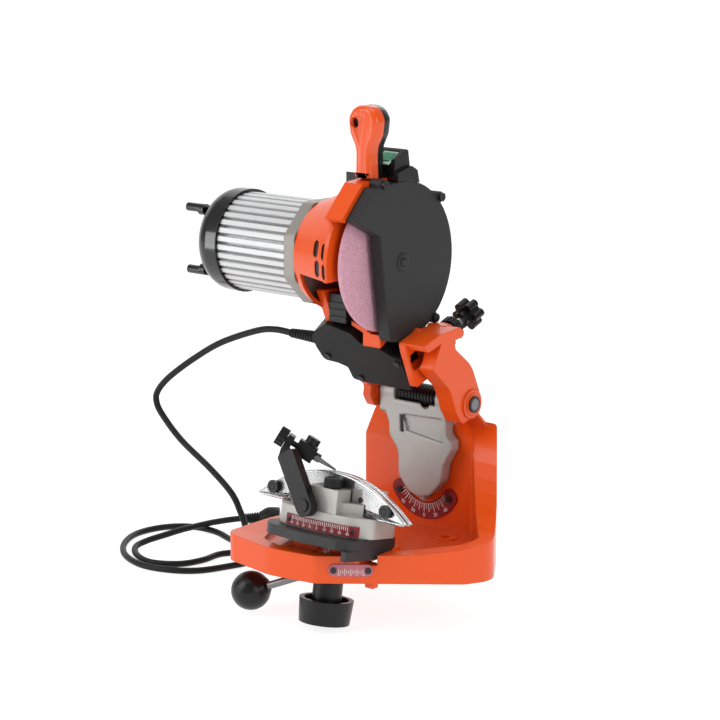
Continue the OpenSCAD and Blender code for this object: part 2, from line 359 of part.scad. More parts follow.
module front_jaw() color([0.9,0.9,0.9]) vise() difference(){ exy(-11.6,-5.6) crescent(); for(x=[-38,38]) translate([x,-20,-20]) rotate([-90,0,0]) cylinder(h=30,r=3.2,$fn=24); for(x=[-72,72]) translate([x,-20,-25]) rotate([-90,0,0]) cylinder(h=30,r=3.4,$fn=24); }
module rail_screws() color([0.08,0.08,0.08]) vise() { for(x=[-72,72]) translate([x,-17,-25]) rotate([-90,0,0]) { cylinder(h=22,r=3,$fn=24); cylinder(h=3.4,r=6.5,$fn=32);} 
  for(x=[-38,38]) translate([x,-12,-20]) rotate([-90,0,0]) cylinder(h=30,r=3,$fn=24); }
module ridged_roller() color([0.08,0.08,0.08]) vise() translate([11,-23.2,-11.95]) difference(){ cylinder(h=10.3,r=9.3,$fn=64); translate([0,0,9.2]) cylinder(h=3,r=6.3,$fn=48); }
module clamp_lever_rod() color([0.7,0.7,0.72]) vise() difference(){ union(){ translate([0,0,-101]) cylinder(h=12,r=12,$fn=48);
   translate([-2,-1,-96]) rotate([0,-90,11]) rotate([0,-24.5,0]) cylinder(h=76,r=4,$fn=24); } translate([0,0,-110]) cylinder(h=30,r=6.06,$fn=48); }
module clamp_lever_ball() color([0.08,0.08,0.08]) vise() difference(){ translate([-85,-17,-134]) sphere(r=20,$fn=64);
   translate([-2,-1,-96]) rotate([0,-90,11]) rotate([0,-24.5,0]) cylinder(h=76.2,r=4.03,$fn=24); }
module vise_lock_knob() color([0.09,0.09,0.09]) vise() difference(){ union(){ translate([0,0,-132]) cylinder(h=23.4,r=15,$fn=48);
   difference(){ translate([0,0,-150]) cylinder(h=24,r1=25.5,r2=27.5,$fn=72); translate([0,0,-142]) cylinder(h=30,r1=21,r2=24,$fn=72);} translate([0,0,-146]) cylinder(h=20,r=15,$fn=48); }
   translate([0,0,-122.2]) cylinder(h=40,r=6.06,$fn=48); }
// chain stop, on the front of the vise
module stop() vise() translate([-4,-37.6,-31]) rotate([0,-33,0]) children();
module sh() vise() translate([-49,-37.8,29.9]) rotate([0,25.2,35.9]) children();
module stop_arm() color([0.08,0.08,0.08]) difference(){
  union(){
    stop() exy(-10.3,-1) polygon(rpoly([[-10,-11],[10,-11],[10.5,57],[-10.5,57]],[9.5,9.5,3,3]));
    stop() translate([0,-1,0]) rotate([-90,0,0]) cylinder(h=18,r=4,$fn=24);
    stop() translate([0,-12,0]) rotate([-90,0,0]) cylinder(h=3,r=6.5,$fn=32);
    sh() translate([5.5,-10,-9]) cube([7,18,16]);
    hull(){ stop() translate([-10,-10.3,45]) cube([9,9.3,10]); sh() translate([5.5,-10,-9]) cube([7,6,5]); }
  }
  sh() translate([3,0,0]) rotate([0,90,0]) cylinder(h=12,r=3.06,$fn=24);
}
module stop_screw_knob() color([0.08,0.08,0.08]) sh() rotate([0,90,0]) { translate([0,0,-3]) cylinder(h=27,r=3,$fn=24); translate([0,0,-4]) linear_extrude(9) lobes(8.6,12,1.2); }
module stop_block() color([0.1,0.1,0.1]) sh() difference(){
  union(){ translate([17.3,-4.5,-8]) cube([20.5,13.5,16]); translate([37,1.7,-4]) cube([7,7.3,8]); }
  translate([16,0,0]) rotate([0,90,0]) cylinder(h=14,r=3.06,$fn=24);
  translate([41,0,0]) rotate([-90,0,0]) cylinder(h=20,r=1.53,$fn=20);
  translate([29,3,2.4]) cylinder(h=10,r=2.03,$fn=20);
}
module stop_pawl() color([0.4,0.4,0.4]) sh() {
  translate([41,-3.2,0]) rotate([-90,0,0]) cylinder(h=4.4,r=2.9,$fn=24);
  translate([41,-3.2,0]) rotate([-90,0,0]) cylinder(h=11.5,r=1.5,$fn=20);
  hull(){ translate([41,-2.6,-2.4]) cube([4,3.4,4.8]); translate([58,-0.5,-1]) cube([5,2,1.6]); }
}
module pawl_lock_knob() color([0.08,0.08,0.08]) sh() translate([29,3,0]) { translate([0,0,3.4]) cylinder(h=8,r=2,$fn=20); translate([0,0,8.4]) linear_extrude(7) lobes(5.2,6,1.8); }

union(){ base_casting(); color("orangered") base_nub(); }
head_tilt_scale();
vise_tilt_scale();
scale_screws();
tilt_bracket();
tilt_pivot_stud();
hinge_shaft();
hinge_circlips();
return_spring();
power_cord();
mains_plug();
plug_pins();
tilt_lock_knob();
motor_support();
wheel_guard();
guard_screws();
handle_front_shell();
handle_rear_shell();
handle_screws();
motor_housing();
motor_end_bell();
motor_tie_screws();
stator_core();
stator_windings();
front_bearing();
rear_bearing();
fan_cover();
switch_box();
electrical_box();
electrical_box_cover();
electrical_box_screws();
run_capacitor();
strain_relief();
cable_duct();
rotor_shaft();
rotor_core();
cooling_fan();
wheel_flanges();
grinding_wheel();
wheel_nut();
start_button();
depth_screw();
depth_screw_knob();
depth_lock_nut();
vise_plate();
vise_stud();
vise_body();
swivel_scale();
rear_rail();
front_jaw();
rail_screws();
ridged_roller();
clamp_lever_rod();
clamp_lever_ball();
vise_lock_knob();
stop_arm();
stop_screw_knob();
stop_block();
stop_pawl();
pawl_lock_knob();
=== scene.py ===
import math
import bpy
import bmesh
from mathutils import Vector, Matrix


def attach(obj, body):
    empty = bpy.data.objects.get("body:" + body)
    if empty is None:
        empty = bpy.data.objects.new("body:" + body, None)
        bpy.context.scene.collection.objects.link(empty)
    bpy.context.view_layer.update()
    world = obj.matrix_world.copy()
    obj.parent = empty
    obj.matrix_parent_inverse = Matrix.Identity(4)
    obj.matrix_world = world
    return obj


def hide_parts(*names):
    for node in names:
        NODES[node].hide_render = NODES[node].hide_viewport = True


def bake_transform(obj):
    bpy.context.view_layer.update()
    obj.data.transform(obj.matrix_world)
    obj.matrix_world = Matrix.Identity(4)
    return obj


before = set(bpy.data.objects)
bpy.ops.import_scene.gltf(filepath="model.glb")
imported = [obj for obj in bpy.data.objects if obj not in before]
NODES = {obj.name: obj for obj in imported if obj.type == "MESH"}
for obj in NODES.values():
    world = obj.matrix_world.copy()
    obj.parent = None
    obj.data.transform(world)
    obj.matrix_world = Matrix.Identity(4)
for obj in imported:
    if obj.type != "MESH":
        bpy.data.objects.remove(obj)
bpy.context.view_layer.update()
M = 0.001
scene = bpy.context.scene


# ---------------------------------------------------------------- camera
cam = bpy.data.cameras.new("view_camera")
cam_ob = bpy.data.objects.new("view_camera", cam)
scene.collection.objects.link(cam_ob)
cam.lens, cam.sensor_width = 113.15, 36
cam_ob.location = (1.390, -1.774, 0.692)
cam_ob.rotation_euler = (math.radians(77.5), 0, math.radians(39.5))
scene.camera = cam_ob


# ---------------------------------------------------------------- mesh helpers
def new_mesh(name, verts, faces, smooth=True, sharp=None):
    me = bpy.data.meshes.new(name)
    me.from_pydata([tuple(v) for v in verts], [], faces)
    me.validate()
    ob = bpy.data.objects.new(name, me)
    scene.collection.objects.link(ob)
    bm = bmesh.new()
    bm.from_mesh(me)
    bmesh.ops.recalc_face_normals(bm, faces=bm.faces)
    if sharp is not None:
        for e in bm.edges:
            if len(e.link_faces) == 2 and e.calc_face_angle(0) > math.radians(sharp):
                e.smooth = False
    bm.to_mesh(me)
    bm.free()
    if smooth:
        for p in me.polygons:
            p.use_smooth = True
    return ob


def catmull(P, k, closed=False):
    out = []
    n = len(P)
    for i in range(n - 1):
        p0, p1, p2, p3 = P[max(i - 1, 0)], P[i], P[i + 1], P[min(i + 2, n - 1)]
        for j in range(k):
            t = j / k
            out.append(0.5 * (2 * p1 + (p2 - p0) * t + (2 * p0 - 5 * p1 + 4 * p2 - p3) * t * t
                              + (3 * p1 - p0 - 3 * p2 + p3) * t ** 3))
    out.append(P[-1])
    return out


def transport(P, up=Vector((0, 0, 1))):
    F = []
    u = up
    for i in range(len(P)):
        t = (P[min(i + 1, len(P) - 1)] - P[max(i - 1, 0)]).normalized()
        u = (u - t * u.dot(t)).normalized()
        F.append((t, u.copy(), t.cross(u)))
    return F


def tube(name, P, r, sides=16, caps=True):
    F = transport(P)
    V, Q = [], []
    for i, p in enumerate(P):
        rr = r(i) if callable(r) else r
        for k in range(sides):
            a = 2 * math.pi * k / sides
            V.append(p + F[i][1] * rr * math.cos(a) + F[i][2] * rr * math.sin(a))
    for i in range(len(P) - 1):
        for k in range(sides):
            Q.append((i * sides + k, i * sides + (k + 1) % sides, (i + 1) * sides + (k + 1) % sides, (i + 1) * sides + k))
    if caps:
        Q.append(tuple(range(sides))[::-1])
        Q.append(tuple((len(P) - 1) * sides + k for k in range(sides)))
    return new_mesh(name, V, Q, sharp=50)


def revolve(name, prof, frame_m, sides=48, sharp=40):
    """A turned body: prof is a list of (along, radius) in mm, closed at both ends."""
    V, Q = [], []
    for a, r in prof:
        for k in range(sides):
            t = 2 * math.pi * k / sides
            V.append(frame_m @ Vector((r * math.cos(t) * M, r * math.sin(t) * M, a * M)))
    n = len(prof)
    for i in range(n - 1):
        for k in range(sides):
            Q.append((i * sides + k, i * sides + (k + 1) % sides, (i + 1) * sides + (k + 1) % sides, (i + 1) * sides + k))
    Q.append(tuple(range(sides))[::-1])
    Q.append(tuple((n - 1) * sides + k for k in range(sides)))
    return new_mesh(name, V, Q, sharp=sharp)


def axes_matrix(origin, z, x=Vector((1, 0, 0))):
    z = Vector(z).normalized()
    if abs(z.dot(Vector(x).normalized())) > 0.95:
        x = Vector((0, 1, 0))
    x = (Vector(x) - z * Vector(x).dot(z)).normalized()
    y = z.cross(x)
    m = Matrix.Identity(4)
    for i in range(3):
        m[i][0], m[i][1], m[i][2], m[i][3] = x[i], y[i], z[i], Vector(origin)[i]
    return m


def rcorner(p0, p1, p2, r, n):
    a, b = (p0 - p1).normalized(), (p2 - p1).normalized()
    h = math.acos(max(-0.9999, min(0.9999, a.dot(b)))) / 2
    d = r / math.tan(h)
    t0, t1 = p1 + a * d, p1 + b * d
    o = p1 + (a + b).normalized() * (r / math.sin(h))
    a0 = math.atan2(t0.y - o.y, t0.x - o.x)
    a1 = math.atan2(t1.y - o.y, t1.x - o.x)
    da = (a1 - a0 + 3 * math.pi) % (2 * math.pi) - math.pi
    return [o + r * Vector((math.cos(a0 + da * i / n), math.sin(a0 + da * i / n))) for i in range(n + 1)]


def rpoly(P, R, n=5):
    P = [Vector(p) for p in P]
    out = []
    for i in range(len(P)):
        if R[i] <= 0:
            out.append(P[i])
        else:
            out += rcorner(P[i - 1], P[i], P[(i + 1) % len(P)], R[i], n)
    return out


def poly_offset(P, d):
    """Moves a closed outline inwards by d (P runs either way round)."""
    area = sum(P[i - 1].x * P[i].y - P[i].x * P[i - 1].y for i in range(len(P)))
    s = 1 if area > 0 else -1
    out = []
    for i in range(len(P)):
        a, b = (P[i] - P[i - 1]), (P[(i + 1) % len(P)] - P[i])
        a = a.normalized() if a.length > 1e-9 else b.normalized()
        b = b.normalized() if b.length > 1e-9 else a
        na, nb = Vector((-a.y, a.x)) * s, Vector((-b.y, b.x)) * s
        m = (na + nb)
        m = m.normalized() if m.length > 1e-6 else na
        out.append(P[i] + m * d / max(0.5, m.dot(na)))
    return out


def resample(P, step):
    out = []
    n = len(P)
    for i in range(n):
        a, b = P[i], P[(i + 1) % n]
        k = max(1, int((b - a).length / step))
        for j in range(k):
            out.append(a + (b - a) * j / k)
    return out


def pillow(name, outline, layers, place):
    """A solid from stacked copies of an outline: layers is a list of (depth, inset)."""
    P = resample(outline, 2.0)
    V, Q = [], []
    n = len(P)
    for z, ins in layers:
        for p in poly_offset(P, ins):
            V.append(place(p.x, p.y, z))
    for i in range(len(layers) - 1):
        for k in range(n):
            Q.append((i * n + k, i * n + (k + 1) % n, (i + 1) * n + (k + 1) % n, (i + 1) * n + k))
    Q.append(tuple(range(n))[::-1])
    Q.append(tuple((len(layers) - 1) * n + k for k in range(n)))
    return new_mesh(name, V, Q, sharp=35)


def cut(ob, tool):
    m = ob.modifiers.new("cut", "BOOLEAN")
    m.object, m.operation, m.solver = tool, "DIFFERENCE", "EXACT"
    dg = bpy.context.evaluated_depsgraph_get()
    me = bpy.data.meshes.new_from_object(ob.evaluated_get(dg))
    ob.modifiers.clear()
    ob.data = me
    bpy.data.objects.remove(tool)
    return ob


# ---------------------------------------------------------------- cord and its ends
CORD = [(-128.2, -45, 211.2), (-150, -45, 211.8), (-176, -45, 207), (-229, -42, 187), (-270, -41, 164), (-308, -41, 138),
        (-328, -40, 119), (-331, -40, 106), (-322, -40, 92), (-294, -40, 68), (-251, -40, 43), (-220, -40, 21),
        (-207, -40, 2), (-204, -36, -14), (-212, -26, -33), (-234, -10, -47), (-266, 6, -51), (-300, 17, -51),
        (-334, 13, -51), (-356, -10, -51), (-361, -46, -51), (-344, -82, -51), (-314, -110, -51), (-276, -124, -51),
        (-240, -118, -51), (-214, -100, -51), (-200, -70, -51), (-193, -44, -51), (-203, -25, -51), (-222, -24, -51),
        (-236, -42, -51), (-236, -70, -51), (-246, -96, -51), (-274, -111, -51), (-304, -102, -51), (-324, -84, -50),
        (-326, -64, -48), (-319, -42, -45), (-315, -20, -43.5), (-312, 2, -43.5), (-308, 22, -43.5), (-299, 38, -42.5),
        (-288, 49, -41)]
path = catmull([Vector(p) * M for p in CORD], 7)
cord = tube("mains_cord", path, 0.0035, 16)

PD = Vector((11, 8.5, 0.6)).normalized()
plug_m = axes_matrix(Vector((-0.288, 0.049, -0.041)), (math.cos(math.atan2(8.5, 11)), math.sin(math.atan2(8.5, 11)), 0), (0, 0, -1))
prof = [(0.3, 3.6), (0.3, 4.9)]
for i in range(7):
    a = 1.6 + i * 2.7
    r = 5.3 + 0.33 * i
    prof += [(a, r), (a + 1.5, r + 0.25), (a + 1.7, r - 1.1), (a + 2.5, r - 1.0), (a + 2.65, r + 0.2)]
prof += [(20.6, 7.6), (22.5, 8.9), (26, 11.2), (29.5, 12.9), (33, 13.4), (40, 13.35), (43.2, 13.1), (44.0, 12.4), (44.0, 9.5)]
plug = revolve("plug_body", prof, plug_m, 56)
# side wings that carry the earth contacts, moulded with the body
wing = pillow("plug_wings", rpoly([(-7, -15.6), (7, -15.6), (7, 15.6), (-7, 15.6)], [4, 4, 4, 4]),
              [(25.6, 2.2), (27.4, 0.3), (33.6, 0), (35.4, 0.6), (36.2, 2.4)],
              lambda x, y, z: plug_m @ Vector((x * M, y * M, z * M)))
relief_m = axes_matrix(Vector((-0.0815, -0.0451, 0.2112)), (-1, 0, 0), (0, 0, 1))
prof = [(0.2, 3.9), (0.2, 4.45), (6.8, 4.45), (7.0, 7.7), (9.4, 7.9), (10.2, 7.2)]
for i in range(9):
    a = 11.0 + i * 3.7
    r = 6.5 - 0.19 * i
    prof += [(a, r), (a + 2.0, r), (a + 2.3, r - 1.3), (a + 3.3, r - 1.3), (a + 3.55, r - 0.1)]
prof += [(44.9, 4.75), (45.8, 4.5), (45.8, 3.6)]
relief = revolve("cord_relief", prof, relief_m, 40)


# ---------------------------------------------------------------- materials
def mat(name, color, rough, metal=0.0, var=0.06, rvar=0.06, nscale=60.0, bump=0.15, bscale=900.0, bdist=0.0002,
        bevel=0.0, coat=0.0, coat_rough=0.1, edge=0.0, spec=0.5, stretch=None, recess_shade=0.0, detail=4.0):
    """Procedural finish: large tone variation, fine bump, varied roughness, painted shade that darkens the colour in
    recesses and between parts, lighter or worn edges.
    """
    m = bpy.data.materials.new(name)
    m.use_nodes = True
    nt = m.node_tree
    nd, ln = nt.nodes, nt.links
    b = nd["Principled BSDF"]
    b.inputs["Metallic"].default_value = metal
    b.inputs["Specular IOR Level"].default_value = spec
    b.inputs["Coat Weight"].default_value = coat
    b.inputs["Coat Roughness"].default_value = coat_rough
    co = nd.new("ShaderNodeTexCoord")
    mp = nd.new("ShaderNodeMapping")
    ln.new(co.outputs["Object"], mp.inputs["Vector"])
    if stretch:
        mp.inputs["Scale"].default_value = stretch
    n1 = nd.new("ShaderNodeTexNoise")
    n1.inputs["Scale"].default_value = nscale
    n1.inputs["Detail"].default_value = detail
    ln.new(mp.outputs[0], n1.inputs["Vector"])
    mix = nd.new("ShaderNodeMix")
    mix.data_type = "RGBA"
    dark = [max(0.0, c * (1 - var)) for c in color]
    lite = [min(1.0, c * (1 + var)) for c in color]
    mix.inputs[6].default_value = (*dark, 1)
    mix.inputs[7].default_value = (*lite, 1)
    ln.new(n1.outputs["Fac"], mix.inputs[0])
    last = mix.outputs[2]
    # painted shade: ambient occlusion darkens the base colour in recesses and between parts
    if recess_shade > 0:
        ao = nd.new("ShaderNodeAmbientOcclusion")
        ao.inputs["Distance"].default_value = 0.012
        ao.samples = 4
        mr = nd.new("ShaderNodeMapRange")
        mr.inputs[1].default_value, mr.inputs[2].default_value = 0.25, 0.95
        mr.inputs[3].default_value, mr.inputs[4].default_value = recess_shade, 0.0
        ln.new(ao.outputs["AO"], mr.inputs[0])
        mx = nd.new("ShaderNodeMix")
        mx.data_type = "RGBA"
        mx.inputs[7].default_value = (color[0] * 0.35, color[1] * 0.3, color[2] * 0.3, 1)
        ln.new(mr.outputs[0], mx.inputs[0])
        ln.new(last, mx.inputs[6])
        last = mx.outputs[2]
    if edge > 0:
        g = nd.new("ShaderNodeNewGeometry")
        mr = nd.new("ShaderNodeMapRange")
        mr.inputs[1].default_value, mr.inputs[2].default_value = 0.52, 0.64
        mr.inputs[3].default_value, mr.inputs[4].default_value = 0.0, edge
        ln.new(g.outputs["Pointiness"], mr.inputs[0])
        mx = nd.new("ShaderNodeMix")
        mx.data_type = "RGBA"
        mx.inputs[7].default_value = (*[min(1, c * 1.5 + 0.05) for c in color], 1)
        ln.new(mr.outputs[0], mx.inputs[0])
        ln.new(last, mx.inputs[6])
        last = mx.outputs[2]
    ln.new(last, b.inputs["Base Color"])
    rr = nd.new("ShaderNodeMapRange")
    rr.inputs[3].default_value, rr.inputs[4].default_value = max(0.02, rough - rvar), min(1, rough + rvar)
    ln.new(n1.outputs["Fac"], rr.inputs[0])
    ln.new(rr.outputs[0], b.inputs["Roughness"])
    n2 = nd.new("ShaderNodeTexNoise")
    n2.inputs["Scale"].default_value = bscale
    n2.inputs["Detail"].default_value = 2
    ln.new(mp.outputs[0], n2.inputs["Vector"])
    bp = nd.new("ShaderNodeBump")
    bp.inputs["Strength"].default_value = bump
    bp.inputs["Distance"].default_value = bdist
    ln.new(n2.outputs["Fac"], bp.inputs["Height"])
    if bevel > 0:
        bv = nd.new("ShaderNodeBevel")
        bv.samples = 4
        bv.inputs["Radius"].default_value = bevel
        ln.new(bv.outputs[0], bp.inputs["Normal"])
    ln.new(bp.outputs[0], b.inputs["Normal"])
    return m


ORANGE = (0.78, 0.080, 0.003)
# painted shade: the orange, cast, vise body, bell and chrome finishes pass a shade weight that darkens them in recesses
MT = {
    "orange": mat("orange_coat", ORANGE, 0.36, var=0.035, rvar=0.05, nscale=25, bump=0.08, bscale=700, bevel=0.0016, coat=0.35, coat_rough=0.10, recess_shade=0.15, spec=0.25),
    "orange_gloss": mat("orange_plastic", (0.78, 0.080, 0.003), 0.24, var=0.02, rvar=0.03, nscale=40, bump=0.03, bscale=500, bevel=0.0008, coat=0.35, coat_rough=0.06, spec=0.4),
    "guard": mat("guard_black", (0.022, 0.022, 0.023), 0.52, spec=0.3, var=0.10, rvar=0.05, nscale=40, bump=0.35, bscale=1700, bevel=0.0022, edge=0.0, bdist=0.00012),
    "black": mat("black_plastic", (0.004, 0.004, 0.0044), 0.33, spec=0.36, var=0.15, rvar=0.06, nscale=70, bump=0.25, bscale=1300, bevel=0.0010, bdist=0.00012),
    "black_gloss": mat("black_gloss", (0.006, 0.006, 0.0065), 0.20, spec=0.35, var=0.1, rvar=0.04, nscale=50, bump=0.05, bscale=400, bevel=0.0014, coat=0.4, coat_rough=0.08),
    "box": mat("box_black", (0.006, 0.006, 0.0058), 0.46, spec=0.22, var=0.12, rvar=0.05, nscale=45, bump=0.30, bscale=1500, bevel=0.0014, bdist=0.00012),
    "rubber": mat("rubber_black", (0.006, 0.006, 0.006), 0.45, spec=0.25, var=0.12, rvar=0.06, nscale=90, bump=0.2, bscale=1100, bevel=0.0004),
    "cast": mat("cast_alu", (0.40, 0.392, 0.375), 0.40, metal=0.5, var=0.13, rvar=0.10, nscale=55, bump=0.5, bscale=420, bevel=0.0032, recess_shade=0.3, bdist=0.00018),
    "body": mat("vise_alu", (0.47, 0.455, 0.425), 0.44, metal=0.4, var=0.09, rvar=0.08, nscale=55, bump=0.32, bscale=620, bevel=0.0016, recess_shade=0.4, bdist=0.00018),
    "fins": mat("finned_alu", (0.66, 0.665, 0.67), 0.38, metal=0.2, var=0.05, rvar=0.09, nscale=90, bump=0.12, bscale=500, bevel=0.0009, stretch=(0.06, 1, 1)),
    "bell": mat("bell_alu", (0.30, 0.28, 0.255), 0.42, metal=0.3, var=0.06, rvar=0.08, nscale=55, bump=0.25, bscale=620, bevel=0.002, recess_shade=0.3),
    "chrome": mat("chrome", (0.52, 0.523, 0.525), 0.22, metal=0.95, var=0.04, rvar=0.05, nscale=70, bump=0.0, bscale=300, recess_shade=0.35),
    "steel": mat("steel", (0.56, 0.56, 0.57), 0.28, metal=1.0, var=0.08, rvar=0.08, nscale=120, bump=0.08, bscale=800, bevel=0.0004),
    "dark_steel": mat("dark_steel", (0.035, 0.034, 0.036), 0.33, metal=0.7, var=0.15, rvar=0.08, nscale=150, bump=0.1, bscale=900, bevel=0.0004),
    "grey_steel": mat("grey_steel", (0.20, 0.20, 0.205), 0.34, metal=0.85, var=0.1, rvar=0.08, nscale=120, bump=0.1, bscale=900, bevel=0.0005),
    "spring": mat("spring_black", (0.018, 0.018, 0.019), 0.25, metal=0.5, var=0.15, rvar=0.08, nscale=200, bump=0.05, bscale=900),
    "plate": mat("plate_grey", (0.028, 0.028, 0.029), 0.42, metal=0.1, spec=0.35, var=0.12, rvar=0.07, nscale=60, bump=0.30, bscale=700, bevel=0.0014),
    "lip": mat("plate_lip", (0.12, 0.12, 0.12), 0.42, metal=0.4, var=0.1, nscale=60, bump=0.2, bscale=700, bevel=0.001),
    "scale": mat("scale_red", (0.22, 0.014, 0.020), 0.40, spec=0.3, var=0.06, rvar=0.05, nscale=80, bump=0.05, bscale=700, bevel=0.0005, coat=0.1),
    "scale_pale": mat("scale_mauve", (0.44, 0.13, 0.16), 0.34, var=0.05, rvar=0.05, nscale=80, bump=0.05, bscale=700, bevel=0.0005, coat=0.1),
    "ink": mat("scale_ink", (0.80, 0.76, 0.74), 0.5, var=0.03, nscale=300, bump=0.02),
    "brass": mat("pin_metal", (0.78, 0.70, 0.52), 0.25, metal=1.0, var=0.05, nscale=100, bump=0.03),
    "core": mat("core_steel", (0.22, 0.22, 0.23), 0.5, metal=0.8, var=0.08, nscale=100, bump=0.4, bscale=900, stretch=(3, .2, .2)),
    "copper": mat("copper_wire", (0.62, 0.26, 0.11), 0.35, metal=0.9, var=0.12, nscale=200, bump=0.5, bscale=1200),
    "white": mat("white_can", (0.74, 0.74, 0.72), 0.35, var=0.03, nscale=60, bump=0.05),
    "green": mat("button_green", (0.03, 0.30, 0.14), 0.25, var=0.04, rvar=0.03, nscale=60, bump=0.03, bevel=0.0008, coat=0.5),
    "mint": mat("button_frame", (0.50, 0.66, 0.55), 0.4, var=0.03, nscale=60, bump=0.05, bevel=0.0005),
}


def wheel_material():
    m = bpy.data.materials.new("wheel_pink")
    m.use_nodes = True
    nd, ln = m.node_tree.nodes, m.node_tree.links
    b = nd["Principled BSDF"]
    b.inputs["Roughness"].default_value = 0.92
    b.inputs["Specular IOR Level"].default_value = 0.3
    co = nd.new("ShaderNodeTexCoord")
    vo = nd.new("ShaderNodeTexVoronoi")
    vo.inputs["Scale"].default_value = 1500
    ln.new(co.outputs["Object"], vo.inputs["Vector"])
    no = nd.new("ShaderNodeTexNoise")
    no.inputs["Scale"].default_value = 38
    ln.new(co.outputs["Object"], no.inputs["Vector"])
    r1 = nd.new("ShaderNodeValToRGB")
    e = r1.color_ramp.elements
    e[0].position, e[0].color = 0.0, (0.50, 0.235, 0.31, 1)
    e[1].position, e[1].color = 1.0, (0.80, 0.50, 0.58, 1)
    x = e.new(0.5)
    x.color = (0.66, 0.345, 0.435, 1)
    ln.new(vo.outputs["Color"], r1.inputs["Fac"])
    mx = nd.new("ShaderNodeMix")
    mx.data_type = "RGBA"
    mx.blend_type = "MULTIPLY"
    mx.inputs[0].default_value = 0.35
    r2 = nd.new("ShaderNodeValToRGB")
    r2.color_ramp.elements[0].color = (0.72, 0.72, 0.74, 1)
    r2.color_ramp.elements[1].color = (1, 1, 1, 1)
    ln.new(no.outputs["Fac"], r2.inputs["Fac"])
    ln.new(r1.outputs["Color"], mx.inputs[6])
    ln.new(r2.outputs["Color"], mx.inputs[7])
    ln.new(mx.outputs[2], b.inputs["Base Color"])
    bp = nd.new("ShaderNodeBump")
    bp.inputs["Strength"].default_value = 0.6
    bp.inputs["Distance"].default_value = 0.0003
    ln.new(vo.outputs["Distance"], bp.inputs["Height"])
    ln.new(bp.outputs[0], b.inputs["Normal"])
    return m


MT["wheel"] = wheel_material()

ASSIGN = {
    "orange": ["base_casting", "motor_support"],
    "orange_gloss": ["handle_front_shell"],
    "guard": ["wheel_guard"],
    "black": ["tilt_lock_knob", "handle_rear_shell", "switch_box", "cable_duct", "cooling_fan", "depth_screw_knob", "depth_lock_nut",
              "vise_lock_knob", "stop_screw_knob", "pawl_lock_knob", "stop_arm", "stop_block", "ridged_roller"],
    "black_gloss": ["fan_cover", "clamp_lever_ball"],
    "box": ["electrical_box", "electrical_box_cover"],
    "rubber": ["mains_plug", "strain_relief", "power_cord"],
    "cast": ["tilt_bracket"],
    "body": ["vise_body"],
    "fins": ["motor_housing"],
    "bell": ["motor_end_bell"],
    "chrome": ["rear_rail", "front_jaw"],
    "steel": ["tilt_pivot_stud", "handle_screws", "front_bearing", "rear_bearing", "rotor_shaft", "wheel_flanges",
              "wheel_nut", "depth_screw", "vise_stud"],
    "dark_steel": ["scale_screws", "hinge_circlips", "guard_screws", "motor_tie_screws", "electrical_box_screws", "rail_screws"],
    "grey_steel": ["stop_pawl", "hinge_shaft", "clamp_lever_rod"],
    "spring": ["return_spring"],
    "plate": ["vise_plate"],
    "scale": ["head_tilt_scale", "swivel_scale"],
    "scale_pale": ["vise_tilt_scale"],
    "brass": ["plug_pins"],
    "core": ["stator_core", "rotor_core"],
    "copper": ["stator_windings"],
    "white": ["run_capacitor"],
    "green": ["start_button"],
    "wheel": ["grinding_wheel"],
}


def give(ob, m):
    ob.data.materials.clear()
    ob.data.materials.append(MT[m])


for key, names in ASSIGN.items():
    for n in names:
        ob = NODES[n]
        for s in ob.material_slots:
            s.material = MT[key]

# ---------------------------------------------------------------- cord pieces ride
for ob in (cord, plug, wing, relief):
    give(ob, "rubber")
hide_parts("power_cord")
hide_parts("mains_plug")
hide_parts("strain_relief")
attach(plug, "tilt_frame")
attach(wing, "tilt_frame")
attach(relief, "head")
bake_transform(cord)


def add(ob, m, body, slot=None, *replaced):
    give(ob, m)
    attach(ob, body)
    if replaced:
        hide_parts(*replaced)
    return ob


# ---------------------------------------------------------------- return spring
HY, HZ = 22, 151
coils, mean, wire = 11.5, 10.5, 1.85
pts = []
x0, x1 = -30.4, 17.4
steps = int(coils * 26)
for i in range(steps + 1):
    t = i / steps
    a = 2 * math.pi * coils * t
    pts.append(Vector(((x0 + (x1 - x0) * t), HY + mean * math.cos(a), HZ + mean * math.sin(a))) * M)
spring = tube("spring_coils", pts, wire * M, 12)
add(spring, "spring", "tilt_frame", "return_spring", "return_spring")

# ---------------------------------------------------------------- handle
HO = rpoly([(-13, 386.5), (-12.6, 400), (-12.5, 416), (-20, 430), (-22, 446), (-14, 458), (8, 458), (16, 446), (14, 430),
            (7, 416), (7.2, 400), (8, 386.5)], [1, 20, 20, 16, 12, 14, 14, 12, 16, 20, 20, 1], 8)


def hplace(x, y, z):
    return Vector((x, z, y)) * M


front = pillow("handle_front", HO, [(-69.2, 0.0), (-76.5, 0.15), (-79.2, 0.9), (-80.9, 2.3), (-81.8, 4.2), (-82.0, 6.2)], hplace)
hole = revolve("hole_tool", [(-6, 5.4), (8, 5.4)], axes_matrix(Vector((-12, -81, 441)) * M, (0, 1, 0)), 40)
cut(front, hole)
add(front, "orange_gloss", "head", "handle_front_shell", "handle_front_shell")
cup = revolve("handle_hole_liner", [(0, 5.7), (0.1, 5.75), (1.0, 5.6), (1.2, 4.5), (1.2, 0.4)],
              axes_matrix(Vector((-12, -76, 441)) * M, (0, 1, 0)), 32)
add(cup, "black", "head", "handle_rear_shell")
rear = pillow("handle_rear", HO, [(-69.0, 0.15), (-62.5, 0.25), (-59.6, 1.1), (-57.6, 2.6), (-57.0, 4.5)], hplace)
add(rear, "black", "head", "handle_rear_shell", "handle_rear_shell")

# ---------------------------------------------------------------- clamp lever ball
c10, s10 = math.cos(math.radians(10)), math.sin(math.radians(10))


def vise_pt(x, y, z):
    return Vector((x, -118 + c10 * y + s10 * z, 98 - s10 * y + c10 * z)) * M


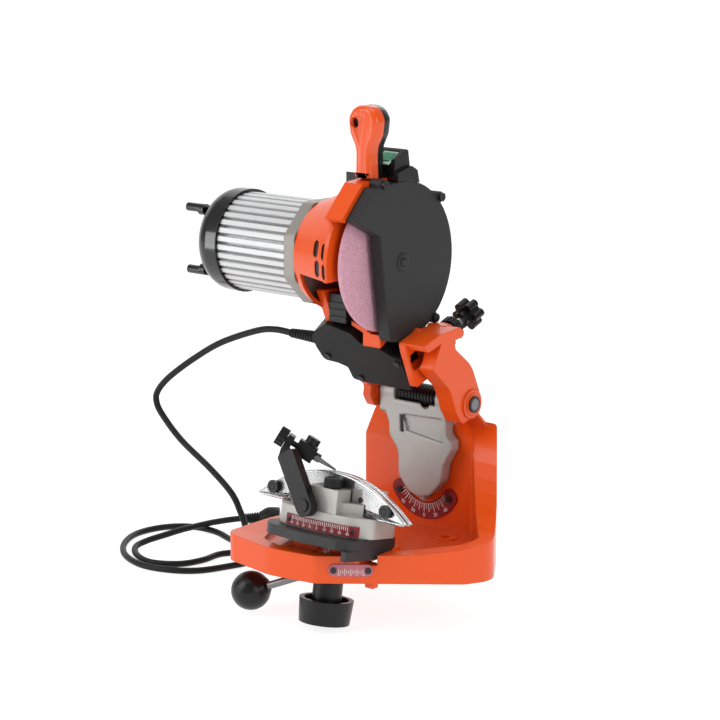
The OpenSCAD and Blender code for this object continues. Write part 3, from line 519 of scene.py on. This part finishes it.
ball_c = vise_pt(-85, -17, -134)
rod_a = vise_pt(-2, -1, -96)
ax = (ball_c - rod_a).normalized()
prof = [(-21.4, 4.1), (-21.0, 6.2), (-19.8, 8.2)]
for i in range(1, 24):
    t = math.radians(-68 + i * 6.7)
    prof.append((20.4 * math.sin(t), 20.0 * math.cos(t)))
prof += [(20.2, 3.2), (20.35, 0.5)]
ball = revolve("lever_ball", prof, axes_matrix(ball_c, ax), 64, sharp=50)
add(ball, "black", "clamp_lever", "clamp_lever_ball", "clamp_lever_ball")


# ---------------------------------------------------------------- chain rails
def crescent():
    P = [Vector((-94.2, -34.6)), Vector((-94.0, -33.6))]
    for i in range(61):
        t = -0.985 + 1.97 * i / 60
        P.append(Vector((94 * t, -34 + 36 * (1 - abs(t) ** 2.1))))
    P += [Vector((94.0, -33.6)), Vector((94.2, -34.6)), Vector((92.6, -36.1)), Vector((87, -36.9))]
    for i in range(41):
        t = 1 - 2 * i / 40
        P.append(Vector((62 * t, -37 + 13 * (1 - t * t))))
    P += [Vector((-87, -36.9)), Vector((-92.6, -36.1))]
    return P


def rail(name, y0, y1, body, node):
    P = crescent()
    prof = [(0.0, 1.5), (0.08, 1.0), (0.3, 0.55), (0.7, 0.2), (1.3, 0.0)]
    L = [(y0 + a, b) for a, b in prof] + [(y1 - a, b) for a, b in prof[::-1]]
    V, Q = [], []
    n = len(P)
    for y, ins in L:
        for p in poly_offset(P, ins):
            V.append(vise_pt(p.x, y, p.y))
    for i in range(len(L) - 1):
        for k in range(n):
            Q.append((i * n + k, i * n + (k + 1) % n, (i + 1) * n + (k + 1) % n, (i + 1) * n + k))
    Q.append(tuple(range(n))[::-1])
    Q.append(tuple((len(L) - 1) * n + k for k in range(n)))
    ob = new_mesh(name, V, Q, sharp=28)
    for p in ob.data.polygons:
        p.use_smooth = len(p.vertices) <= 4
    return add(ob, "chrome", body, node, node)


rail("rail_front_mesh", -11.6, -5.6, "jaw", "front_jaw")
rail("rail_rear_mesh", -2.9, 3.0, "vise_turret", "rear_rail")

# ---------------------------------------------------------------- printed ticks and numbers
def slab(V, Q, c, u, v, w, h, n, t):
    """Adds a thin box: centre c, directions u and v, size w by h, raised by t along n."""
    b = len(V)
    for k in (0, 1):
        for a, d in ((-1, -1), (1, -1), (1, 1), (-1, 1)):
            V.append(c + u * (a * w / 2) + v * (d * h / 2) + n * (t * k))
    Q += [(b, b + 3, b + 2, b + 1), (b + 4, b + 5, b + 6, b + 7)] + [(b + i, b + (i + 1) % 4, b + 4 + (i + 1) % 4, b + 4 + i) for i in range(4)]


def label(text, origin, u, v, size, name, body, slot):
    """Generic plain numbers for a dial."""
    cu = bpy.data.curves.new(name, "FONT")
    cu.body, cu.size, cu.align_x, cu.align_y = text, size, "CENTER", "CENTER"
    cu.extrude = 0.00004
    ob = bpy.data.objects.new(name + "_t", cu)
    scene.collection.objects.link(ob)
    dg = bpy.context.evaluated_depsgraph_get()
    me = bpy.data.meshes.new_from_object(ob.evaluated_get(dg))
    bpy.data.objects.remove(ob)
    u, v = Vector(u).normalized(), Vector(v).normalized()
    n = u.cross(v)
    m = Matrix.Identity(4)
    for i in range(3):
        m[i][0], m[i][1], m[i][2], m[i][3] = u[i], v[i], n[i], Vector(origin)[i]
    me.transform(m)
    o2 = bpy.data.objects.new(name, me)
    scene.collection.objects.link(o2)
    return add(o2, "ink", body, slot)


# head tilt scale: an arc round (-4, 66) on the front of the panel
V, Q = [], []
C = Vector((-4, 22.33, 66)) * M
for d in range(-145, -34, 5):
    a = math.radians(d)
    r = Vector((math.cos(a), 0, math.sin(a)))
    t = Vector((-math.sin(a), 0, math.cos(a)))
    big = (d + 90) % 10 == 0
    r0, r1 = (31.0, 39.5) if big else (31.0, 36.5)
    slab(V, Q, C + r * ((r0 + r1) / 2 * M), t, r, (0.75 if big else 0.5) * M, (r1 - r0) * M, Vector((0, -1, 0)), 0.08 * M)
# base line of the ticks
for i in range(56):
    a = math.radians(-145 + i * 2 + 1)
    r = Vector((math.cos(a), 0, math.sin(a)))
    t = Vector((-math.sin(a), 0, math.cos(a)))
    slab(V, Q, C + r * (30.9 * M), t, r, 1.15 * M, 0.35 * M, Vector((0, -1, 0)), 0.08 * M)
add(new_mesh("tilt_scale_ticks", V, Q, smooth=False), "ink", "base", "head_tilt_scale")
for i, d in enumerate(range(-130, -49, 20)):
    a = math.radians(d)
    r = Vector((math.cos(a), 0, math.sin(a)))
    t = Vector((-math.sin(a), 0, math.cos(a)))
    label(str(abs(d + 90)), C + r * (43.0 * M) + Vector((0, -0.04, 0)) * M, t, r, 5.6 * M, "tilt_number_%d" % i, "base", "head_tilt_scale")

# vise tilt scale on the side wall
ca, sa = math.cos(math.radians(38.11)), math.sin(math.radians(38.11))
su, sn = Vector((ca, sa, 0)), Vector((sa, -ca, 0))
S0 = Vector((12, -173, 0)) * M + sn * (1.43 * M)
V, Q = [], []
for i in range(13):
    x = 24.0 + i * 2.0
    h = 4.4 if i % 3 == 0 else 2.8
    slab(V, Q, S0 + su * (x * M) + Vector((0, 0, (11.0 + h / 2) * M)), su, Vector((0, 0, 1)), 0.45 * M, h * M, sn, 0.08 * M)
add(new_mesh("vise_scale_ticks", V, Q, smooth=False), "ink", "base", "vise_tilt_scale")
for i, tx in enumerate(("10", "5", "0", "5", "10")):
    label(tx, S0 + su * ((24 + i * 6) * M) + Vector((0, 0, 9.6 * M)) + sn * (0.04 * M), su, (0, 0, 1), 2.9 * M, "vise_number_%d" % i, "base", "vise_tilt_scale")

# swivel scale round the front of the vise body
VB = rpoly([(-58, -16), (-44, -32), (0, -38), (44, -30), (58, -14), (58, 26), (36, 36), (-36, 36), (-58, 26)],
           [16, 20, 50, 20, 16, 12, 12, 12, 12], 8)
band = [Vector((p.x * (1 + 1.4 / 57), p.y * (1 + 1.4 / 36))) for p in VB]


def front_at(x):
    """Point and direction on the band's front at x."""
    best = None
    for i in range(len(band)):
        a, b = band[i - 1], band[i]
        if (a.x - x) * (b.x - x) <= 0 and abs(a.x - b.x) > 1e-6 and (a.y + b.y) / 2 < -8:
            t = (x - a.x) / (b.x - a.x)
            p = a + (b - a) * t
            d = (b - a).normalized()
            if d.x < 0:
                d = -d
            best = (p, d)
    return best


V, Q = [], []
up = (vise_pt(0, 0, 1) - vise_pt(0, 0, 0)).normalized()
nums = []
for i in range(-16, 17):
    x = 8.0 + i * 2.1
    got = front_at(x)
    if not got:
        continue
    p, d = got
    q = vise_pt(p.x, p.y, 0) - vise_pt(0, 0, 0)
    u = (vise_pt(d.x, d.y, 0) - vise_pt(0, 0, 0)).normalized()
    n = u.cross(up)
    base_p = vise_pt(p.x, p.y, -44.6)
    h = 5.4 if i % 4 == 0 else 3.6
    slab(V, Q, base_p + n * (0.05 * M) - up * (h / 2 * M), u, up, 0.55 * M, h * M, n, 0.1 * M)
    if i % 4 == 0:
        nums.append((abs(i) // 4 * 10, base_p + n * (0.14 * M) - up * (7.4 * M), u))
add(new_mesh("swivel_ticks", V, Q, smooth=False), "ink", "vise_turret", "swivel_scale")
for i, (v, p, u) in enumerate(nums):
    label(str(v), p, u, up, 3.9 * M, "swivel_number_%d" % i, "vise_turret", "swivel_scale")


# ---------------------------------------------------------------- small hardware details
def disc(name, origin, axis, prof, m, body, slot, sides=32, spin=0.0):
    return add(revolve(name, prof, axes_matrix(Vector(origin), axis), sides), m, body, slot)


def hexpit(name, origin, axis, r, body, slot):
    """A dark hexagonal socket ring set in a screw head."""
    fm = axes_matrix(Vector(origin), axis)
    V, Q = [], []
    for rr, z in ((r * 1.32, 0.02), (r * 1.12, 0.14), (r, 0.10), (r * 0.9, -0.0)):
        for k in range(6):
            a = math.pi / 3 * k
            V.append(fm @ Vector((rr * math.cos(a) * M, rr * math.sin(a) * M, z * M)))
    for i in range(3):
        for k in range(6):
            Q.append((i * 6 + k, i * 6 + (k + 1) % 6, (i + 1) * 6 + (k + 1) % 6, (i + 1) * 6 + k))
    Q.append(tuple(18 + k for k in range(6)))
    Q.append(tuple(k for k in range(6))[::-1])
    return add(new_mesh(name, V, Q, smooth=False), "dark_steel", body, slot)


WY, WZ = -48, 303
for i, (gy, gz) in enumerate(((WY - 30, WZ + 79.7), (WY + 60, WZ + 58), (WY + 52, WZ - 64))):
    hexpit("guard_socket_%d" % i, Vector((25.4, gy, gz)) * M, (1, 0, 0), 2.0, "head", "guard_screws")
# hub of the guard: shallow raised ring and a countersunk screw
disc("guard_hub", Vector((21.9, WY, WZ)) * M, (1, 0, 0), [(0, 9.5), (0.5, 9.3), (0.9, 8.6), (0.9, 5.2), (0.5, 4.9), (0.5, 0.5)], "guard", "head", "wheel_guard", 48)
disc("guard_hub_screw", Vector((22.4, WY, WZ)) * M, (1, 0, 0), [(0, 3.9), (0.7, 3.8), (1.3, 3.0), (1.5, 1.6), (1.1, 1.5), (1.1, 0.3)], "dark_steel", "head", "guard_screws", 32)
for i, x in enumerate((-72, 72)):
    hexpit("rail_socket_%d" % i, vise_pt(x, -17.0, -25), (0, -c10, s10), 3.0, "vise_turret", "rail_screws")

# ridged roller on the raised block in front of the chain rail
vz = (vise_pt(0, 0, 1) - vise_pt(0, 0, 0)).normalized()
RM = axes_matrix(vise_pt(11, -23.2, -12.0), vz)
V, Q, n = [], [], 96
for z, rr, ridge in ((0.1, 8.6, 0), (0.7, 9.2, 0.25), (1.6, 9.3, 0.5), (8.6, 9.3, 0.5), (9.6, 9.1, 0.3), (10.2, 8.4, 0), (10.3, 6.6, 0), (9.2, 6.2, 0), (9.1, 0.6, 0)):
    for k in range(n):
        a = 2 * math.pi * k / n
        r = rr - ridge * (0.5 + 0.5 * math.cos(a * 32))
        V.append(RM @ Vector((r * math.cos(a) * M, r * math.sin(a) * M, z * M)))
for i in range(8):
    for k in range(n):
        Q.append((i * n + k, i * n + (k + 1) % n, (i + 1) * n + (k + 1) % n, (i + 1) * n + k))
Q.append(tuple(range(n))[::-1])
Q.append(tuple(8 * n + k for k in range(n)))
add(new_mesh("roller_mesh", V, Q, sharp=40), "black", "vise_turret", "ridged_roller", "ridged_roller")
# small screws at the ends of the swivel scale
for i, x in enumerate((-29.8, 45.8)):
    p, d = front_at(x)
    u = (vise_pt(d.x, d.y, 0) - vise_pt(0, 0, 0)).normalized()
    disc("swivel_screw_%d" % i, vise_pt(p.x, p.y, -49.2), u.cross(vz), [(-0.4, 2.3), (0.5, 2.3), (1.0, 1.7), (1.1, 0.9), (0.7, 0.8), (0.7, 0.2)], "dark_steel", "vise_turret", "swivel_scale", 24)

# painted shade: dark sheets just inside the cooling slots stand in for the shade in the holes
for k, (sx, sz) in enumerate(((-33, 16), (-18, 15), (-29, -3), (-15.5, -4))):
    V, Q = [], []
    nu, nv = 8, 14
    for b in range(nv + 1):
        dz = -8.0 + 16.0 * b / nv
        half = 4.15 if abs(dz) <= 4 else math.sqrt(max(0.05, 4.15 ** 2 - (abs(dz) - 4) ** 2))
        for a in range(nu + 1):
            x = sx - half + 2 * half * a / nu
            r = 53.5 + (min(x, -14.0) + 74.7) * (77 - 53.5) / 60.7 - 1.1
            z = sz + dz
            V.append(Vector((x, WY - math.sqrt(r * r - z * z), WZ + z)) * M)
    for b in range(nv):
        for a in range(nu):
            q = b * (nu + 1) + a
            Q.append((q, q + 1, q + nu + 2, q + nu + 1))
    add(new_mesh("slot_shade_sheet_%d" % k, V, Q), "black", "head", "electrical_box")

# pale inset round the start button
fmb = lambda x, y, z: (Vector((3, -48, 404.6)) + Vector((x, math.cos(math.radians(28)) * y - math.sin(math.radians(28)) * z,
                                                        math.sin(math.radians(28)) * y + math.cos(math.radians(28)) * z))) * M
V, Q = [], []
outer = [(-9.6, -12.4), (9.6, -12.4), (9.6, 8.4), (-9.6, 8.4)]
inner = [(-7.6, -8.6), (7.6, -8.6), (7.6, 5.6), (-7.6, 5.6)]
for z in (1.0, 2.2):
    for p in outer + inner:
        V.append(fmb(p[0], p[1], z))
for k in range(4):
    j = (k + 1) % 4
    Q += [(k, j, 8 + j, 8 + k), (4 + k, 12 + k, 12 + j, 4 + j), (8 + k, 8 + j, 12 + j, 12 + k), (k, 4 + k, 4 + j, j)]
add(new_mesh("button_frame", V, Q, smooth=False), "mint", "head", "start_button")

# ---------------------------------------------------------------- floor, light
floor_z = -0.0548
bm = bmesh.new()
prof = []
for i in range(24):
    t = i / 23
    prof.append((-3.2 + 5.6 * t, 0.0))
for i in range(1, 13):
    a = math.pi / 2 * i / 12
    prof.append((2.4 + 0.8 * math.sin(a), 0.8 * (1 - math.cos(a))))
prof.append((3.2, 3.6))
az = math.radians(39.5)
fx, fy = Vector((math.cos(az), math.sin(az), 0)), Vector((-math.sin(az), math.cos(az), 0))
rows = []
for y, z in prof:
    rows.append([bm.verts.new(fx * x + fy * y + Vector((0, 0, floor_z + z))) for x in (-4.5, 4.5)])
for i in range(len(rows) - 1):
    bm.faces.new((rows[i][0], rows[i][1], rows[i + 1][1], rows[i + 1][0]))
me = bpy.data.meshes.new("studio_floor")
bm.to_mesh(me)
bm.free()
floor = bpy.data.objects.new("studio_floor", me)
scene.collection.objects.link(floor)
for p in me.polygons:
    p.use_smooth = True
fm = bpy.data.materials.new("studio_paper")
fm.use_nodes = True
fb = fm.node_tree.nodes["Principled BSDF"]
fb.inputs["Base Color"].default_value = (0.34, 0.34, 0.34, 1)
fb.inputs["Roughness"].default_value = 0.9
fb.inputs["Specular IOR Level"].default_value = 0.1
fb.inputs["Emission Color"].default_value = (1, 1, 1, 1)
fb.inputs["Emission Strength"].default_value = 0.84
me.materials.append(fm)

world = bpy.data.worlds.new("studio_world")
scene.world = world
world.use_nodes = True
bg = world.node_tree.nodes["Background"]
bg.inputs[0].default_value = (1.0, 1.0, 1.0, 1)
bg.inputs[1].default_value = 0.36


def area(name, loc, target, size, energy, size_y=None, color=(1, 1, 1)):
    la = bpy.data.lights.new(name, "AREA")
    la.energy, la.size, la.color = energy, size, color
    if size_y:
        la.shape, la.size_y = "RECTANGLE", size_y
    ob = bpy.data.objects.new(name, la)
    scene.collection.objects.link(ob)
    ob.location = loc
    d = Vector(target) - Vector(loc)
    ob.rotation_euler = d.to_track_quat("-Z", "Y").to_euler()
    return ob


mid = (-0.05, -0.05, 0.18)
area("key_left", (-1.0, -1.9, 1.5), mid, 1.3, 18)
area("fill_right", (2.0, -0.5, 0.9), mid, 1.2, 14)
area("top_soft", (0.0, -0.1, 2.1), mid, 1.8, 15)
area("rim_back", (-0.6, 1.7, 1.3), mid, 1.0, 8)

# two narrow soft lights close to the base's front
area("strip_a", (-1.15, -1.15, 0.28), (-0.02, -0.14, 0.01), 0.10, 2.2, size_y=0.75)
area("strip_b", (-0.75, -1.45, 0.28), (0.0, -0.15, 0.01), 0.10, 2.2, size_y=0.75)

scene.view_settings.view_transform = "Standard"
scene.view_settings.look = "None"
